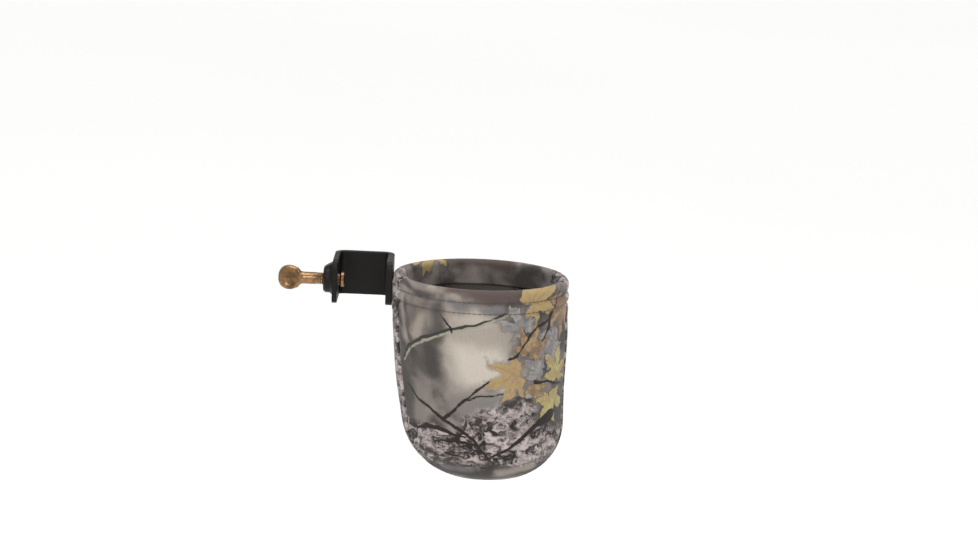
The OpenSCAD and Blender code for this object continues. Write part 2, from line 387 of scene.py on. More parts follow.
TAUPE = linear(128, 121, 117)
PALE = linear(190, 183, 174)
PALE_WARM = linear(156, 148, 139)
SHADE = linear(72, 69, 67)
SHADE_BROWN = linear(94, 83, 80)
# colour of the painted shade over the pouch's underside
PAINTED_UNDERSIDE_SHADE = linear(56, 52, 51)
BLUE_GREY = linear(116, 116, 119)
TWIG = linear(44, 37, 36)
BRANCH = linear(58, 55, 51)
BRANCH_LIT = linear(146, 146, 130)
BARK_DARK = linear(42, 38, 38)
BARK_MID = linear(90, 83, 81)
BARK_LIGHT = linear(142, 132, 130)
BARK_PALE = linear(182, 172, 170)
MUSTARD = linear(164, 143, 100)
YELLOW = linear(164, 144, 102)
ORANGE = linear(158, 136, 104)
LIME = linear(172, 168, 112)
RUST = linear(126, 104, 84)
SHADOW_LEAF = linear(124, 123, 124)
SHADOW_LEAF_TIP = linear(148, 145, 143)
LINING_TONE = linear(20, 19, 19)
NAP_LOW = linear(110, 104, 102)
NAP_HIGH = linear(190, 186, 182)

# soft strokes of the out-of-focus ground, with painted shade over the foot and along the left side: (x, y) to
# (x, y), half width, softness, colour, strength
GROUND_AND_PAINTED_SHADE_STROKES = [
    ((-4, 32), (5, 60), 9, 22, PALE, 1.0),
    ((-14, 27), (14, 30), 3, 10, PALE_WARM, 0.8),
    ((-14, 74), (6, 68), 2, 10, TAUPE, 0.9),
    ((-40, 68), (-42, 84), 2, 9, TAUPE, 0.9),
    ((-34, 42), (-29, 55), 2, 10, SHADE, 0.95),
    ((-25, 15), (-28, 32), 1, 7, SHADE, 0.8),
    # the SHADE strokes at the far left, from x -50 outwards, are partly the print and partly painted shade of
    # the pouch's left side
    ((-54, 46), (-60, 76), 2, 8, SHADE, 0.8),
    ((-52, 70), (-56, 90), 2, 8, SHADE, 0.8),
    ((-40, 17), (-41, 31), 1, 5, PALE_WARM, 0.9),
    ((-60, 14), (-49, 34), 1, 4, PALE_WARM, 0.8),
    ((-56, 16), (-46, 38), 0.5, 3, SHADE, 0.8),
    ((-68, 20), (-56, 42), 1, 5, SHADE, 0.8),
    ((-34, 12), (-52, 24), 1, 5, SHADE_BROWN, 0.6),
    ((-4, 76), (12, 71), 2, 8, SHADOW_LEAF, 0.8),
    ((-16, -2), (22, 3), 4, 5, SHADE_BROWN, 0.95),
    ((-8, 8), (24, 9), 1.5, 4, SHADE_BROWN, 0.7),
    ((-62, -5), (-30, 2), 1, 3, TAUPE, 1.0),
    ((-34, 2), (-6, 8), 0.5, 2.5, PALE_WARM, 0.9),
    ((-64, 3), (-30, 8), 1, 3, SHADE, 0.9),
    ((-30, 9), (12, 14), 0.5, 3, BLUE_GREY, 0.9),
    # painted shade: a wide dark stroke over the pouch's underside, not part of the print
    ((-50, 120), (50, 118), 6, 10, PAINTED_UNDERSIDE_SHADE, 0.95),
    ((12, 121), (34, 115), 2, 6, PALE_WARM, 0.8),
    ((-26, 118), (-8, 121), 1, 4, BLUE_GREY, 0.6),
    ((-14, 113), (-6, 112), 0.5, 3, LIME, 0.4),
    ((-4, 109), (24, 107), 0.2, 1.2, LIME, 0.5),
]
# each twig is a list of (x, y, width) points
TWIGS = [
    [(-53, 66, 1.2), (-42, 74, 1.7), (-33, 78, 1.7), (-24, 84, 2.3), (-14, 88, 2.1), (-3, 98, 1.9),
     (6, 112, 1.3)],
    [(-23, 83, 2.2), (-11, 71.5, 1.6), (0, 62, 1.3), (8, 55, 0.8)],
    [(-9, 70, 1.2), (1, 67, 1.2), (14, 65.6, 0.7)],
    [(62, 2, 0.7), (54, 14.5, 1.2), (50, 21, 2.2), (38, 25, 1.6), (30, 33, 1.2), (24, 42, 1.7),
     (18, 44, 1.3)],
    [(50, 19, 2.6), (49, 25, 2.2), (43, 34, 0.6)],
    [(36, 59, 2.2), (47, 60, 1.1), (64, 64, 0.7)],
    [(-24, 18, 0.5), (-17.5, 26.5, 1.7), (-16, 31, 0.9)],
    [(50, 81, 7.5), (43, 84.5, 6.0), (36, 87, 3.2), (29, 92, 2.6), (15, 102, 2.2), (2, 109, 1.0)],
    [(-48, 94, 1.4), (-36, 89, 3.0), (-22, 91, 2.4), (-10, 94, 1.0)],
    [(-30, 98, 1.0), (-16, 97, 2.0), (-4, 99, 1.0)],
]
BRANCH_LINE = [(-56, 49, 1.8), (-50, 41, 1.9), (-28, 30, 1.8), (6, 19.5, 1.3), (24, 13, 0.8)]
# each leaf is (x, y, turn in degrees, size, colour, colour of its blotches and tips)
LEAVES = [
    (56, 36, 200, 22, SHADOW_LEAF, SHADOW_LEAF_TIP),
    (29, 25, 122, 19, SHADOW_LEAF, SHADOW_LEAF_TIP),
    (41, 51, 155, 15, SHADOW_LEAF, SHADOW_LEAF_TIP),
    (64, 13, 265, 23, ORANGE, RUST),
    (34, 9, 25, 26, YELLOW, MUSTARD),
    (33, 39, 70, 19, ORANGE, RUST),
    (36, 62, 310, 12, RUST, MUSTARD),
    (23, 55, 195, 22, MUSTARD, ORANGE),
    (57, 57, 80, 18, LIME, MUSTARD),
    (49, 70, 285, 19, LIME, YELLOW),
]
# a leaf's outline from its tip round to its stem: (degrees, reach as a share of its size)
LEAF_EDGE = [
    (0, 1.00), (7, 0.78), (11, 0.82), (17, 0.58), (25, 0.42), (32, 0.60), (38, 0.74), (46, 0.96), (53, 0.72),
    (58, 0.74), (67, 0.46), (78, 0.36), (90, 0.56), (98, 0.70), (107, 0.48), (124, 0.34), (140, 0.38),
    (155, 0.22), (180, 0.05),
]
LEAF_LOBES = [0, 46, 98]
# the band of bark: y where its ragged top fades in and its foot fades out, and how far its edges wander
BARK_TOP = (98, 104)
BARK_FOOT = (121, 129)
BARK_WANDER = 22.0
BARK_HUMP = ((-4, 88), (26, 78), 6.0, 9.0)  # a stroke of bark under the leaves, with its two half widths
BARK_SLANT = math.radians(-18)
FULL_BARK_Y = 500  # from here down the cloth is all bark; the gusset is cut from it


def segment_group():
    """Distance from a point to a line segment less a width that changes along it, below 0 inside."""
    tree, net, given, out = new_group("segment_distance", ["P", "A", "B"], ["Half A", "Half B"], ["Distance"])
    run = net.vector("SUBTRACT", given["B"], given["A"])
    rel = net.vector("SUBTRACT", given["P"], given["A"])
    along = net.vector("DOT_PRODUCT", rel, run)
    share = net.math("DIVIDE", along, net.vector("DOT_PRODUCT", run, run), clamp=True)
    away = net.vector("DISTANCE", rel, net.vector("SCALE", run, scale=share))
    widening = net.math("MULTIPLY", share, net.math("SUBTRACT", given["Half B"], given["Half A"]))
    net.put(out["Distance"], net.math("SUBTRACT", away, net.math("ADD", given["Half A"], widening)))
    return tree


def leaf_group():
    """A pointed, lobed leaf: how far inside its edge a point is, as a share of its size, and its veins."""
    tree, net, given, out = new_group("leaf_shape", ["P", "Centre"], ["Turn", "Size"], ["Inside", "Vein"])
    rel = net.vector("SUBTRACT", given["P"], given["Centre"])
    turned = net.node("ShaderNodeVectorRotate", [("Vector", rel), ("Angle", given["Turn"])],
                      rotation_type="Z_AXIS").outputs[0]
    x, y, _ = net.split(turned)
    angle = net.math("ABSOLUTE", net.math("ARCTAN2", y, x))
    reach = net.math("DIVIDE", net.vector("LENGTH", rel), given["Size"])
    outline = net.ramp(net.math("DIVIDE", angle, math.pi),
                       [(degrees / 180, (share, share, share, 1)) for degrees, share in LEAF_EDGE])
    net.put(out["Inside"], net.math("SUBTRACT", outline, reach))
    off_lobes = [net.math("ABSOLUTE", net.math("SINE", net.math("SUBTRACT", angle, math.radians(lobe))))
                 for lobe in LEAF_LOBES]
    off_vein = net.math("MULTIPLY", net.fold("MINIMUM", off_lobes), reach)
    net.put(out["Vein"], net.span(off_vein, 0.008, 0.045, 1.0, 0.0))
    return tree


def use_group(net, tree, **values):
    inputs = [(socket.replace("_", " "), value) for socket, value in values.items()]
    return net.node("ShaderNodeGroup", inputs, node_tree=tree).outputs


def stroke_distance(net, segment, point, start, end, half_start, half_end):
    """Distance from the edge of a straight stroke, below 0 inside it."""
    return use_group(net, segment, P=point, A=(*start, 0), B=(*end, 0), Half_A=float(half_start),
                     Half_B=float(half_end))[0]


def line_distance(net, segment, point, lines):
    """Distance to the nearest of several lines of (x, y, width) points."""
    strokes = [stroke_distance(net, segment, point, (ax, ay), (bx, by), aw / 2, bw / 2)
               for line in lines for (ax, ay, aw), (bx, by, bw) in zip(line, line[1:])]
    return net.fold("MINIMUM", strokes)


def warped(net, point, scale, detail, reach):
    """The point moved about by noise, to make edges ragged or curved."""
    wander = net.vector("SUBTRACT", net.noise(point, scale, detail, colour=True), (0.5, 0.5, 0.5))
    return net.vector("ADD", point, net.vector("SCALE", wander, scale=reach))


def print_ground_and_painted_shade(net, segment, point):
    """Out-of-focus greys and taupes in soft strokes, with painted shade over the foot and along the left
    side.
    """
    bent = warped(net, point, 0.05, 2.0, 12.0)
    cloud = net.noise(point, 0.045, 3.0, 0.5, 0.5)
    colour = net.mix(net.span(cloud, 0.36, 0.6), SHADE, TAUPE)
    colour = net.mix(net.span(cloud, 0.52, 0.72, 0.0, 0.6), colour, PALE_WARM)
    for start, end, half, softness, tint, strength in GROUND_AND_PAINTED_SHADE_STROKES:
        away = stroke_distance(net, segment, bent, start, end, half, half)
        colour = net.mix(net.span(away, 0.0, softness, strength, 0.0), colour, tint)
    fibres = net.noise(net.stretch(point, (0.9, 0.14, 1)), 1.0, 3.0, 0.6)
    return net.mix(0.35, colour, net.mix(fibres, SHADE, PALE), "SOFT_LIGHT")


def bark_colour(net, point):
    """Broken bark: pale speckled plates and dark gaps between them, drawn out along a slant."""
    bent = warped(net, point, 0.07, 3.0, 10.0)
    zones = net.noise(net.stretch(bent, (0.042, 0.088, 1), BARK_SLANT), 1.0, 3.0, 0.58)
    streaks = net.noise(net.stretch(bent, (0.10, 0.42, 1), BARK_SLANT), 1.0, 3.0, 0.6)
    specks = net.noise(net.stretch(point, (0.46, 0.66, 1), BARK_SLANT), 1.0, 5.0, 0.72)
    layers = [(zones, 0.9), (streaks, 0.30), (specks, 0.26)]
    mixed = net.fold("ADD", [net.math("MULTIPLY", layer, weight) for layer, weight in layers])
    return net.ramp(mixed, [(0.65, BARK_DARK), (0.705, BARK_MID), (0.765, BARK_LIGHT), (0.86, BARK_PALE)])


def print_bark(net, segment, point, colour, down):
    """A band of bark across the foot of the panel, with a hump under the leaves."""
    edge = net.math("ADD", down, net.math("MULTIPLY", net.noise(point, 0.07, 4.0, 0.6), BARK_WANDER))
    band = net.math("MULTIPLY", net.span(edge, *BARK_TOP), net.span(edge, *BARK_FOOT, 1.0, 0.0))
    hump = stroke_distance(net, segment, warped(net, point, 0.1, 4.0, 10.0), *BARK_HUMP)
    mask = net.math("MAXIMUM", band, net.span(hump, 0.0, 6.0, 0.9, 0.0))
    mask = net.math("MAXIMUM", mask, net.span(down, FULL_BARK_Y - 1, FULL_BARK_Y))
    return net.mix(mask, colour, bark_colour(net, point))


def print_leaf(net, tree, point, colour, leaf, blotches, specks):
    """A leaf over the colour so far, with a soft shadow round it."""
    x, y, turn, size, body, tips = leaf
    outputs = use_group(net, tree, P=point, Centre=(x, y, 0), Turn=math.radians(turn), Size=float(size))
    inside = outputs["Inside"]
    colour = net.mix(net.span(inside, -0.22, 0.02, 0.0, 0.4), colour, SHADE)
    face = net.mix(net.span(blotches, 0.42, 0.58), body, tips)
    face = net.mix(net.span(inside, 0.0, 0.16, 0.35, 0.0), face, tips)
    face = net.mix(net.span(specks, 0.54, 0.70, 0.0, 0.4), face, BARK_MID)
    face = net.mix(net.math("MULTIPLY", outputs["Vein"], 0.28), face, RUST)
    return net.mix(net.span(inside, 0.0, 0.05), colour, face)


def print_branch(net, segment, point, colour):
    """A dark branch with a mossy light edge along its lower side."""
    lit_line = [(x + 0.6, y + 1.5, width * 0.9) for x, y, width in BRANCH_LINE]
    patches = net.noise(point, 0.22, 3.0, 0.6)
    lit = net.span(line_distance(net, segment, point, [lit_line]), -0.3, 0.5, 1.0, 0.0)
    lit = net.math("MULTIPLY", lit, net.span(patches, 0.34, 0.5))
    colour = net.mix(lit, colour, BRANCH_LIT)
    dark = net.span(line_distance(net, segment, point, [BRANCH_LINE]), -0.2, 0.4, 1.0, 0.0)
    return net.mix(dark, colour, BRANCH)


def printed_colour(net, point):
    """The whole print as a colour, with painted shade over the foot and the left side, for a point in
    millimetres of flat cloth.
    """
    segment, leaf = segment_group(), leaf_group()
    curved = warped(net, point, 0.11, 2.0, 3.5)
    ragged = warped(net, warped(net, point, 0.12, 2.0, 9.0), 0.5, 4.0, 2.6)
    blotches = net.noise(point, 0.14, 4.0, 0.62, 0.5)
    specks = net.noise(point, 0.6, 4.0, 0.65)

    colour = print_ground_and_painted_shade(net, segment, point)
    colour = print_bark(net, segment, point, colour, net.split(point)[1])
    colour = print_branch(net, segment, curved, colour)
    for spec in LEAVES:
        colour = print_leaf(net, leaf, ragged, colour, spec, blotches, specks)
    twigs = line_distance(net, segment, warped(net, curved, 0.6, 2.0, 0.8), TWIGS)
    return net.mix(net.span(twigs, -0.2, 0.35, 1.0, 0.0), colour, TWIG)


def printed_cloth(name, dim=0.0):
    """Brushed, printed cloth. dim from 0 to 1 darkens it, for the lining."""
    material, net, shader = new_material(
        name, Roughness=0.9, Sheen_Weight=0.12, Sheen_Roughness=0.5, Specular_IOR_Level=0.15)
    coords = net.node("ShaderNodeUVMap", uv_map="cloth")
    point = net.vector("SCALE", coords.outputs[0], scale=100.0)
    colour = printed_colour(net, point)
    nap = net.noise(net.stretch(point, (2.2, 0.9, 1)), 1.0, 3.0, 0.6)
    colour = net.mix(0.3, colour, net.mix(net.span(nap, 0.3, 0.7), NAP_LOW, NAP_HIGH), "SOFT_LIGHT")
    if dim:
        colour = net.mix(dim, colour, LINING_TONE)
    grain = net.noise(point, 2.6, 2.0, 0.6)
    soft = net.noise(point, 0.35, 2.0, 0.5)
    height = net.math("ADD", net.math("MULTIPLY", grain, 0.5), net.math("MULTIPLY", soft, 0.5))
    dress(net, shader, colour, height, 0.45, 0.0006)
    return material


def thread_material():
    material, net, shader = new_material("sewing_thread", Roughness=0.6, Sheen_Weight=0.2)
    coords = net.object_coords()
    ply = net.noise(coords, 1800.0, 2.0)
    dress(net, shader, net.mix(ply, linear(58, 44, 44), linear(96, 78, 74)), ply, 0.4, 0.0002)
    return material


def black_metal():
    """Satin black coat over a casting: fine orange peel, and edges where it has worn thin."""
    material, net, shader = new_material("black_coat", Metallic=0.0, Specular_IOR_Level=0.17)
    coords = net.object_coords()
    peel = net.noise(coords, 900.0, 3.0, 0.6)
    patches = net.noise(coords, 90.0, 3.0, 0.55)
    edge = net.node("ShaderNodeNewGeometry").outputs["Pointiness"]
    worn = net.math("MULTIPLY", net.span(edge, 0.52, 0.60), net.span(patches, 0.4, 0.65))
    base = net.mix(patches, linear(14, 12, 10), linear(25, 21, 18))
    base = net.mix(net.math("MULTIPLY", worn, 0.25), base, linear(70, 64, 60))
    dress(net, shader, base, peel, 0.22, 0.0003, net.span(patches, 0.25, 0.75, 0.36, 0.52))
    return material


def brass():
    """Cast brass that has browned a little, with paler edges that are partly rubbed brass and partly a
    painted highlight.
    """
    material, net, shader = new_material("aged_brass", Metallic=1.0)
    coords = net.object_coords()
    tarnish = net.noise(coords, 160.0, 4.0, 0.6, 0.4)
    edge = net.node("ShaderNodeNewGeometry").outputs["Pointiness"]
    base = net.mix(net.span(tarnish, 0.35, 0.68), linear(150, 118, 84), linear(96, 74, 54))
    # paler edges: partly rubbed brass, partly a painted highlight on rims and thread crests
    base = net.mix(net.span(edge, 0.54, 0.66, 0.0, 0.5), base, linear(226, 192, 150))
    pits = net.noise(coords, 1300.0, 2.0, 0.6)
    dress(net, shader, base, pits, 0.12, 0.0002, net.span(tarnish, 0.3, 0.7, 0.24, 0.42))
    return material


def steel():
    material, net, shader = new_material("zinc_steel", Metallic=1.0)
    coords = net.object_coords()
    grain = net.noise(net.stretch(coords, (1, 1, 5)), 400.0, 3.0, 0.6)
    tone = net.mix(grain, linear(168, 170, 174), linear(206, 206, 208))
    dress(net, shader, tone, grain, 0.1, 0.0002, net.span(grain, 0.3, 0.7, 0.28, 0.42))
    return material


# ---- the pouch's shape ----

def wall_path(inset):
    """(radius, z) from the middle of the base up the wall to the hoop, inset from the pouch's outside."""
    corner = arc(CORNER_X, CORNER_Z, CORNER_R - inset, -90, 0, 31)
    return [(0.0, BASE_Z + inset)] + corner + [(POUCH_R - inset, TAPER_Z), (POUCH_R - inset, WIRE_Z)]


def outer_path():
    """The outer cloth from its base to the turned-in edge, with rows close together in the hem."""
    low_step = 2.4 * MM
    hem_step = 0.85 * MM
    roll_step = 0.95 * MM
    wall = resample(wall_path(0.0), 0.5 * MM)
    for _ in range(40):  # eases the bend where the wall starts to lean
        wall[1:-1] = (wall[:-2] + wall[2:] + 2 * wall[1:-1]) / 4
    split = int(np.argmax(wall[:, 1] > HEM_BASE_Z - 4 * MM))
    low = resample(wall[:split + 1], low_step)
    high = resample(wall[split:], hem_step)
    roll = arc(HOOP_R, WIRE_Z, ROLL_R, 0, 180, 13) + [(HOOP_R - ROLL_R, HEM_BASE_Z)]
    return np.concatenate([low, high[1:], resample(roll, roll_step)[1:]])


def rim_row(path):
    """The outer path's highest row."""
    return int(np.argmax(path[:, 1]))


def gusset_offset(points):
    """Distance across the gusset from its middle, for points on the straight pouch."""
    rel_x = points[:, 0] - POUCH_X
    return -rel_x * math.sin(GUSSET_TURN) + points[:, 1] * math.cos(GUSSET_TURN)


def settle(points):
    """Hangs the straight pouch: the base drifts out and the wall swells and dips a little."""
    bend = 1.15  # above 1, so the wall hangs straight under the hem
    points = np.array(points, float)
    drop = np.clip((HEM_BASE_Z - points[:, 2]) / (HEM_BASE_Z - BASE_Z), 0, 1)
    rel = points[:, :2] - AXIS
    angle = np.arctan2(rel[:, 1], rel[:, 0])
    swell = sum(share * np.sin(waves * angle + twist * drop + start) for share, waves, twist, start in SWELLS)
    rel *= (1 + swell * np.sin(math.pi * np.clip(drop * bend, 0, 1)))[:, None]
    points[:, :2] = rel + AXIS
    points[:, 0] += LEAN * drop ** bend
    return points


def press_flat(points):
    """Lays the cloth flat against the clamp's jaw, where the hoop's screws pull it tight."""
    jaw_low, jaw_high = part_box("clamp_frame")
    jaw_x = jaw_high.x + 0.1 * MM
    half_width = 16 * MM
    side_fade = 5 * MM
    foot_fade = 4 * MM
    top_fade = 3 * MM
    across = np.clip((half_width - np.abs(points[:, 1])) / side_fade, 0, 1)
    below = np.clip((points[:, 2] - (jaw_low.z - foot_fade)) / foot_fade, 0, 1)
    above = np.clip((WIRE_Z + top_fade / 2 - points[:, 2]) / top_fade, 0, 1)
    near = (points[:, 0] < jaw_x + 3 * MM) * across * below * above
    points[:, 0] += (jaw_x - points[:, 0]) * near
    return points


def sew_in(grid, path):
    """Draws the hem's relief into the outer side, except where the clamp holds the cloth flat."""
    rel = grid[:, :, :2] - AXIS
    outside = (np.arange(len(path)) <= rim_row(path))[:, None]
    depth = sum(reach * valley(grid[:, :, 2] - z, half) for z, reach, half in HEM_RELIEF)
    depth *= 1 - np.where(rel[:, :, 0] < 0, valley(rel[:, :, 1], PLATE_HALF), 0)
    radius = np.linalg.norm(rel, axis=2)
    scale = np.where(outside, 1 - depth / np.maximum(radius, 1e-6), 1.0)
    grid[:, :, :2] = rel * scale[:, :, None] + AXIS
    return grid


def add_group(obj, name, weights):
    """A vertex group from one weight for each vertex. Weights too small to matter are left out."""
    group = obj.vertex_groups.new(name=name)
    for i in np.nonzero(weights > 0.02)[0]:
        group.add([int(i)], float(weights[i]), "REPLACE")


def held_weights(points, row, rim):
    """How firmly the hoop, the base's middle and the hem's stitches hold each point of the cloth."""
    on_stitch = np.maximum(valley(points[:, 2] - UPPER_STITCH_Z, 0.8 * MM),
                           valley(points[:, 2] - LOWER_STITCH_Z, 0.8 * MM))
    held = np.where(row >= rim - 3, 1.0, np.clip(on_stitch * 1.4, 0, 1))
    held[row == 0] = 1.0
    return held


def add_cloth(obj):
    """Stiff cloth under a little pressure, which shrinks along the gusset seams."""
    cloth = obj.modifiers.new("cloth", "CLOTH")
    settings = {"quality": 6, "mass": 0.25, "tension_stiffness": 12, "compression_stiffness": 12,
                "bending_stiffness": 0.4, "vertex_group_mass": "held", "vertex_group_shrink": "seam",
                "shrink_max": 0.12, "use_pressure": True, "uniform_pressure_force": 4.0}
    for key, value in settings.items():
        setattr(cloth.settings, key, value)
    cloth.settings.effector_weights.gravity = 0.3
    cloth.collision_settings.use_collision = False


def simulate(grid, path):
    """Swells the outer cloth between its seams with Blender's cloth, and caps how far it may go."""
    rows, columns = grid.shape[:2]
    points = grid.reshape(-1, 3)
    obj = add_object("swelling_cloth", points, ring_faces(rows, columns))
    add_group(obj, "held", held_weights(points, np.repeat(np.arange(rows), columns), rim_row(path)))
    add_group(obj, "seam", valley(np.abs(gusset_offset(points)) - GUSSET_HALF, 2.0 * MM))
    add_cloth(obj)
    scene = bpy.context.scene
    for frame_number in range(1, SWELL_FRAMES + 1):
        scene.frame_set(frame_number)
    evaluated = obj.evaluated_get(bpy.context.evaluated_depsgraph_get())
    moved = np.array([v.co for v in evaluated.data.vertices])
    bpy.data.objects.remove(obj)
    scene.frame_set(1)
    return (points + capped(moved - points, points)).reshape(grid.shape)


def capped(shift, points):
    """Limits how far points move outwards, inwards and along the cloth."""
    outward = points - np.array([POUCH_X, 0, CORNER_Z])
    outward[:, 2] = np.minimum(outward[:, 2], 0)
    outward /= np.maximum(np.linalg.norm(outward, axis=1, keepdims=True), 1e-9)
    push = (shift * outward).sum(1)
    side = shift - push[:, None] * outward
    side_length = np.linalg.norm(side, axis=1, keepdims=True)
    side *= np.minimum(1, MOST_ALONG / np.maximum(side_length, 1e-9))
    return np.clip(push, -MOST_IN, MOST_OUT)[:, None] * outward + side


def panel_map(points, along, facing):
    """Flat cloth coordinates of a panel. facing is -1 for the front of the pouch and 1 for the back."""
    rel_x, y = points[:, 0] - POUCH_X, points[:, 1]
    angle = np.arctan2(-facing * rel_x, facing * y)
    return angle * np.hypot(rel_x, y), along


def gusset_map(points, along, whole):
    """Flat cloth coordinates of the gusset, one strip from rim to rim. whole is rim to base centre."""
    across = gusset_offset(points)
    side = np.sign((points[:, 0] - POUCH_X) * math.cos(GUSSET_TURN) + points[:, 1] * math.sin(GUSSET_TURN))
    return across, GUSSET_CUT_Y + side * np.sqrt(np.maximum((whole - along) ** 2 - across ** 2, 0))


def store_map(obj, x, y):
    """Keeps flat cloth coordinates as a UV map, 1 unit to 100 mm."""
    flat = np.stack([x, y], axis=1) * 10
    layer = obj.data.uv_layers.new(name="cloth")
    index = np.zeros(len(obj.data.loops), np.int64)
    obj.data.loops.foreach_get("vertex_index", index)
    layer.data.foreach_set("uv", flat[index].astype(np.float32).ravel())


def cut_along_seams(bm):
    """Adds edge loops on and beside the two gusset seams."""
    normal = Vector((-math.sin(GUSSET_TURN), math.cos(GUSSET_TURN), 0))
    centre = Vector((POUCH_X, 0, 0))
    for side in (-1, 1):
        for offset in (-3.2, -1.8, -0.9, 0, 0.9, 1.8, 3.2):
            on_cut = centre + normal * side * (GUSSET_HALF + offset * MM)
            everything = bm.verts[:] + bm.edges[:] + bm.faces[:]
            bmesh.ops.bisect_plane(bm, geom=everything, plane_co=on_cut, plane_no=normal, dist=1e-6)


def part_of(bm, low, high):
    """A copy of the faces whose middles lie between two distances across the gusset."""
    copy = bm.copy()
    middles = np.array([f.calc_center_median() for f in copy.faces])
    offsets = gusset_offset(middles)
    doomed = [f for f, d in zip(copy.faces, offsets) if not low < d < high]
    bmesh.ops.delete(copy, geom=doomed, context="FACES")
    return copy


def seam_shape(points, normals, along):
    """Pulls the cloth in along the gusset seams and pads it beside them."""
    away = np.abs(gusset_offset(points)) - GUSSET_HALF
    pucker = 1 + 0.25 * np.sin(along / (0.9 * MM)) + 0.2 * np.sin(along / (2.3 * MM) + 1.3)
    depth = -0.8 * MM * valley(away, 0.9 * MM) * pucker
    depth += 0.3 * MM * valley(np.abs(away) - 3.0 * MM, 1.6 * MM)
    depth *= 0.45 + 0.55 * eased(along, 4 * MM, 20 * MM)  # shallower in the hem, where the cloth is double
    return points + normals * depth[:, None]


def whole_cloth(grid, from_rim):
    """The outer cloth in one piece, cut at its seams. Its vertices keep their length from the rim."""
    rows, columns = grid.shape[:2]
    verts = np.concatenate([grid[1:].reshape(-1, 3), [[POUCH_X, 0, grid[0, 0, 2]]]])
    along = np.concatenate([np.repeat(from_rim[1:], columns), [from_rim[0]]])
    faces = ring_faces(rows - 1, columns) + pole_faces(len(verts) - 1, columns)
    whole = add_object("whole_cloth", verts, faces)
    bm = bmesh.new()
    bm.from_mesh(whole.data)
    bpy.data.objects.remove(whole)
    layer = bm.verts.layers.float.new("along")
    for vert, value in zip(bm.verts, along):
        vert[layer] = value
    cut_along_seams(bm)
    bm.normal_update()
    return bm


def build_outer(grid, path, material):
    """The three panels of the outer cloth, sewn together at the gusset seams."""
    total = lengths_along(path)
    from_rim = total[rim_row(path)] - total
    bm = whole_cloth(grid, from_rim)
    far = 1.0
    for kind, low, high, node in (("front", -far, -GUSSET_HALF, "outer_front_panel"),
                                  ("gusset", -GUSSET_HALF, GUSSET_HALF, "outer_gusset"),
                                  ("back", GUSSET_HALF, far, "outer_back_panel")):
        part = part_of(bm, low, high)
        key = part.verts.layers.float["along"]
        along = np.array([v[key] for v in part.verts])
        mesh = bpy.data.meshes.new("pouch_" + kind)
        part.to_mesh(mesh)
        part.free()
        obj = place("pouch_" + kind, mesh)
        points = np.array([v.co for v in obj.data.vertices])
        normals = np.array([v.normal for v in obj.data.vertices])
        if kind == "gusset":
            store_map(obj, *gusset_map(points, along, from_rim[0]))
        else:
            store_map(obj, *panel_map(points, along, -1 if kind == "front" else 1))
        points = press_flat(settle(seam_shape(points, normals, along)))
        obj.data.vertices.foreach_set("co", points.astype(np.float32).ravel())
        thick = obj.modifiers.new("thickness", "SOLIDIFY")
        thick.thickness = CLOTH_T
        thick.offset = -1
        apply_modifiers(obj)
        finish_piece(obj, "holder", material, "printed_cloth", node)
    bm.free()


# ---- stitches ----

def surface_point(grid, path, z, turn):
    """A point on the outside of the swollen cloth, at a height and an angle round from the front."""
    columns = grid.shape[1]
    rim = rim_row(path)
    row = np.interp(z, path[:rim, 1], np.arange(rim))
    column = (turn / (2 * math.pi) * columns) % columns
    r, c = int(row), int(column)
    pair = grid[r:r + 2, [c % columns, (c + 1) % columns]]
    low, high = pair[:, 0] + (pair[:, 1] - pair[:, 0]) * (column - c)
    return low + (high - low) * (row - r)


def stitch_paths(points, normals, length, gap, lift):
    """Short arched paths that follow a line of points, each dipping into the cloth at both ends."""
    along = lengths_along(points)
    paths = []
    start = 0.5 * gap
    while start + length < along[-1]:
        wanted = [start + share * length for share, _ in STITCH_ARCH]
        heights = np.array([[height] for _, height in STITCH_ARCH])
        paths.append(points_at(wanted, along, points) + points_at(wanted, along, normals) * lift * heights)
        start += length + gap
    return paths


def hem_row(grid, path, z):
    """Points and outward normals once round the hem at a height, open at the hoop plate."""
    turns = np.radians(np.linspace(-90, 270, 361))
    gap = math.asin(PLATE_HALF / POUCH_R)
    turns = turns[(turns > -math.pi / 2 + gap) & (turns < 1.5 * math.pi - gap)]
    points = settle([surface_point(grid, path, z, t) for t in turns])
    normals = np.stack([np.sin(turns), -np.cos(turns), np.zeros_like(turns)], axis=1)
    return points, normals


def seam_row(grid, path, side):
    """Points and outward normals of the stitching beside one gusset seam, from hem to hem under the base."""
    reach = GUSSET_HALF + SEAM_STITCH_OFF
    lows = [(radius, z) for radius, z in path[:rim_row(path)]
            if z < HEM_BASE_Z - 1.5 * MM and radius > reach + 0.3 * MM]
    points, normals = [], []
    for end, rows in ((-1, lows[::-1]), (1, lows)):
        for radius, z in rows:
            lean = math.asin(min(1, reach / radius))
            turn = end * (math.pi / 2 + side * lean) + GUSSET_TURN
            points.append(surface_point(grid, path, z, turn))
            slope = np.clip((CORNER_Z - z) / CORNER_R, 0, 1)
            flat = math.sqrt(max(0.0, 1 - slope ** 2))
            normals.append([flat * math.sin(turn), -flat * math.cos(turn), -slope])
    return settle(points), np.array(normals)


def build_stitches(grid, path, material):
    """Every stitch of the hem's two rows and of the two gusset seams, one object to a row."""
    for kind, z in (("upper", UPPER_STITCH_Z), ("lower", LOWER_STITCH_Z)):
        points, normals = hem_row(grid, path, z)
        obj = tubes("hem_stitches_" + kind, stitch_paths(points, normals, **HEM_STITCH), HEM_THREAD_R)
        finish_piece(obj, "holder", material, "thread", "hem_stitch_" + kind)
    for kind, side in (("front", -1), ("back", 1)):
        points, normals = seam_row(grid, path, side)
        obj = tubes("seam_stitches_" + kind, stitch_paths(points, normals, **SEAM_STITCH), SEAM_THREAD_R)
        finish_piece(obj, "holder", material, "thread", "seam_thread_" + kind)


# ---- lining ----

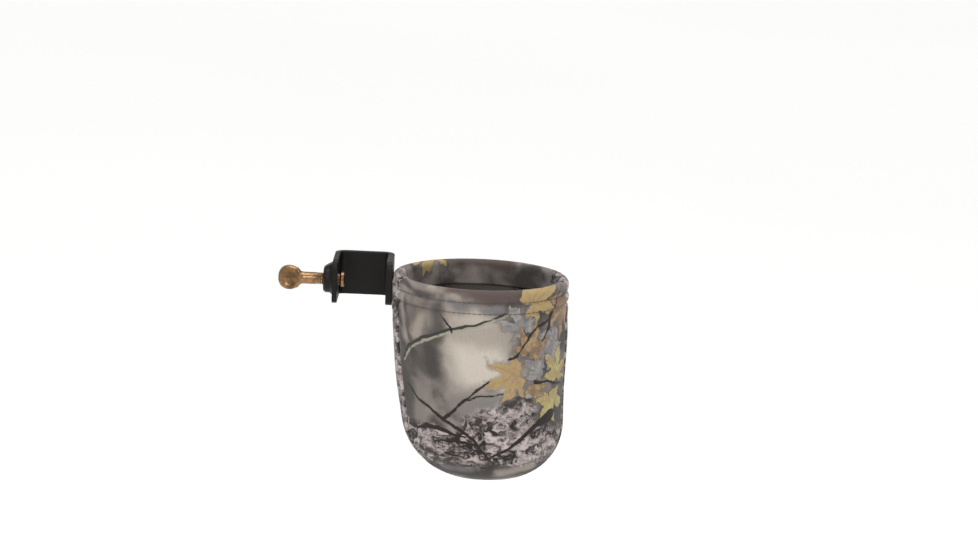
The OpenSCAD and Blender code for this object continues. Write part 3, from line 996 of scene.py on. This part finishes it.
def build_lining(material):
    """The padded lining: foam and inner cloth as one closed piece."""
    top_z = WIRE_Z - WIRE_R - 0.8 * MM
    edge = 0.6 * MM
    outer = [p for p in resample(wall_path(LINING_OUT), 3.0 * MM) if p[1] < top_z - 1 * MM]
    inner = [p for p in resample(wall_path(LINING_IN), 2.6 * MM) if p[1] < top_z - 1 * MM]
    cap = [(POUCH_R - LINING_OUT - edge, top_z), (POUCH_R - LINING_IN + edge, top_z)]
    path = np.array(outer + cap + inner[::-1])
    verts, faces = revolved_solid(path, COLUMNS)
    obj = add_object("pouch_lining", settle(verts), faces)
    total = lengths_along(path)
    from_top = np.abs(total - total[len(outer)])
    along = np.concatenate([np.repeat(from_top[1:-1], COLUMNS), [from_top[0], from_top[-1]]])
    store_map(obj, *panel_map(verts, along + LINING_CUT_Y, 1))
    finish_piece(obj, "holder", material, "lining_cloth", "padding_wall", "padding_base", "lining_wall",
                 "lining_base")


def build_binding(material):
    """The bound seam at the foot of the lining, a round bead."""
    sides = 10
    low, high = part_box("lining_seam")
    bead_r = (high.z - low.z) / 2
    ring_r = (high.x - low.x) / 2 - bead_r
    circle = arc(ring_r, low.z + bead_r, bead_r, 0, 360, sides + 1)[:-1]
    verts = revolve(circle, COLUMNS).reshape(-1, 3)
    faces = [tuple(i % len(verts) for i in face) for face in ring_faces(sides + 1, COLUMNS)]
    bead = add_object("lining_binding", settle(verts), faces)
    finish_piece(bead, "holder", material, "thread", "lining_seam")


# ---- clamp and thumb screw ----

def build_clamp(black, metal):
    clamp = soft_edged("clamp_casting", "clamp_frame", 0.5 * MM)
    finish_piece(clamp, "holder", black, "black_metal", "clamp_frame")
    for node in ("hoop_wire", "hoop_plate", "hoop_screws", "hoop_washers", "foot_clip"):
        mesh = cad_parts[node].data
        mesh.materials.clear()
        mesh.materials.append(metal)


def screw_ring(x, y, z):
    return np.stack([np.full(SCREW_SIDES, x), y, z], axis=1)


def thread_rings(start_x, thread_x, end_x, crest_r):
    """Rings of a shank along +X: smooth up to thread_x, then a rolled thread and a chamfered tip."""
    pitch = 1.25 * MM
    depth = 0.34 * MM
    run_in = 1.5 * MM
    chamfer_deep = 0.5 * MM
    chamfer_long = 0.6 * MM
    rings_per_turn = 9
    rings = []
    for x in np.linspace(start_x, end_x, int((end_x - start_x) / pitch * rings_per_turn) + 1):
        phase = (x / pitch - SCREW_TURNS / (2 * math.pi)) % 1
        root = 1 - np.clip(1.35 - 2.7 * np.abs(phase - 0.5), 0, 1)
        cut = np.clip((x - thread_x) / run_in, 0, 1)
        chamfer = chamfer_deep * np.clip(1 - (end_x - x) / chamfer_long, 0, 1)
        radius = crest_r - depth * root * cut - chamfer
        rings.append(screw_ring(x, radius * np.cos(SCREW_TURNS), radius * np.sin(SCREW_TURNS)))
    return rings


def spade_rings(centre_x, half_long, half_high, half_thick, neck_r, shoulder_x):
    """Rings of the oval spade head, dished on both faces, which is a round shank from shoulder_x."""
    oval_power = 2.2       # a little squarer than an ellipse, which has 2
    neck_power = 4         # how sharply the head turns into the neck
    edge_r = 0.9 * MM      # rounding of the head's far edge
    flare_high = 1.8 * MM  # how much taller the neck is where it leaves the head
    dish_size = 0.66       # of the head's length and height
    dish_depth = 0.4       # of half its thickness
    start_x = centre_x - half_long
    flare_x = centre_x + 0.7 * half_long
    flare_reach = (shoulder_x - flare_x) / 2.0
    c, s = np.cos(SCREW_TURNS), np.sin(SCREW_TURNS)
    rings = []
    for share in 0.5 - 0.5 * np.cos(np.linspace(0.06, math.pi, 70)):
        x = start_x + share * (shoulder_x - start_x)
        out = (x - centre_x) / half_long
        oval = half_high * max(0.0, 1 - abs(min(out, 1)) ** oval_power) ** (1 / oval_power)
        flare = flare_high * math.exp(-(max(0.0, x - flare_x) / flare_reach) ** 2)
        neck = (neck_r + flare) * eased(out, 0.0, 0.9)
        high = (oval ** neck_power + neck ** neck_power) ** (1 / neck_power)
        into_shank = eased(out, 0.45, (shoulder_x - centre_x) / half_long)
        rim = min(1.0, (x - start_x) / edge_r)
        thick = (half_thick + (neck_r - half_thick) * into_shank) * math.sqrt(1 - (1 - rim) ** 2)
        power = 2 / (4.0 - 2.0 * into_shank)  # from a squarish section in the head to a round one
        side = np.sign(c) * np.abs(c) ** power * thick
        up = np.sign(s) * np.abs(s) ** power * high
        from_middle = ((x - centre_x) / (dish_size * half_long)) ** 2 + (up / (dish_size * half_high)) ** 2
        side *= 1 - dish_depth * eased(-from_middle, -1.3, -0.3) * (1 - into_shank)
        rings.append(screw_ring(x, side, up))
    return rings


def build_screw(metal):
    """The thumb screw as one mesh from head to tip, and its foot."""
    low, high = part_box("thumb_screw")
    foot_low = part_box("pressure_foot")[0]
    boss_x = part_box("clamp_frame")[0].x
    crest_r = (high.y - low.y) / 2
    half_high = (high.z - low.z) / 2
    half_long = 0.91 * half_high
    half_thick = 1.8 * MM
    head_x = low.x + half_high + 0.3 * MM
    shoulder_x = boss_x - SCREW_IN - 0.15 * MM
    rings = spade_rings(head_x, half_long, half_high, half_thick, crest_r, shoulder_x)
    rings += thread_rings(shoulder_x, boss_x - 5 * MM, foot_low.x - 0.4 * MM, crest_r)[1:]
    screw = add_object("spade_screw", np.concatenate(rings), tube_faces(len(rings), SCREW_SIDES))
    finish_piece(screw, "screw", metal, "brass", "thumb_screw")
    foot = soft_edged("foot_pad", "pressure_foot", 0.16 * MM)
    finish_piece(foot, "foot", metal, "brass", "pressure_foot")


# ---- stage ----

HORIZON = (0.74, 0.74, 0.74, 1)
ZENITH = (0.26, 0.26, 0.26, 1)
LIGHT_TARGET = Vector((0.05, 0, -0.05))
# each soft light: name, place from its target, size across, power in watts
LIGHTS = [
    ("key", (0.1, -1.3, 0.75), 0.5, 9.0),
    ("fill", (-1.2, -0.7, 0.9), 0.6, 3.0),
    ("top", (0.3, 0.6, 1.2), 0.8, 3.0),
]


def build_floor():
    """A plain pale floor, well below the part."""
    z = BASE_Z - 0.35
    half = 14.0
    corners = [(-half, -half, z), (half, -half, z), (half, half, z), (-half, half, z)]
    floor = add_object("floor", corners, [(0, 1, 2, 3)])
    material, net, shader = new_material("pale_floor", Roughness=0.9)
    tone = net.noise(net.object_coords(), 0.6, 2.0)
    net.put(shader.inputs["Base Color"], net.mix(tone, linear(246, 246, 245), linear(252, 252, 251)))
    floor.data.materials.append(material)


def build_sky():
    """An even studio surround that is brighter at the horizon, and a wide soft sun."""
    world = bpy.data.worlds.new("studio")
    bpy.context.scene.world = world
    world.use_nodes = True
    background = world.node_tree.nodes["Background"]
    sky = Net(world.node_tree)
    up = sky.split(sky.node("ShaderNodeTexCoord").outputs["Generated"])[2]
    sky.put(background.inputs["Color"], sky.mix(sky.span(up, 0.05, 0.75), HORIZON, ZENITH))
    sun = bpy.data.lights.new("sky", "SUN")
    sun.energy = 2.2
    sun.angle = math.radians(60)
    place("sky", sun)


def build_lights():
    for name, offset, size, power in LIGHTS:
        data = bpy.data.lights.new(name, "AREA")
        data.shape = "DISK"
        data.size = size
        data.energy = power
        light = place(name, data)
        light.location = Vector(offset) + LIGHT_TARGET
        light.rotation_euler = (LIGHT_TARGET - light.location).to_track_quat("-Z", "Y").to_euler()


def build_camera():
    """The camera at the photograph's angle, with a long lens."""
    elevation = math.radians(11)
    roll = math.radians(2.5)
    distance = 1.9
    view_width = 0.606
    sensor_width = 36
    target = Vector((0.0634, 0, 0.0067))
    data = bpy.data.cameras.new("camera")
    data.sensor_width = sensor_width
    data.lens = sensor_width * distance / view_width
    data.clip_end = 60
    camera = place("camera", data)
    away = Vector((0, -math.cos(elevation), math.sin(elevation)))
    camera.location = target + away * distance
    facing = (-away).to_track_quat("-Z", "Y").to_matrix()
    camera.rotation_euler = (facing @ Matrix.Rotation(roll, 3, "Z")).to_euler()
    bpy.context.scene.camera = camera
    bpy.context.scene.view_settings.view_transform = "Standard"


# ---- put together ----

build_camera()
build_floor()
build_sky()
build_lights()

cloth = printed_cloth("printed_cloth")
lining_cloth = printed_cloth("lining_cloth", dim=0.72)
thread = thread_material()

cloth_path = outer_path()
cloth_grid = sew_in(revolve(cloth_path, COLUMNS), cloth_path)
cloth_grid = simulate(cloth_grid, cloth_path)
build_outer(cloth_grid, cloth_path, cloth)
build_stitches(cloth_grid, cloth_path, thread)
build_lining(lining_cloth)
build_binding(thread)
build_clamp(black_metal(), steel())
build_screw(brass())
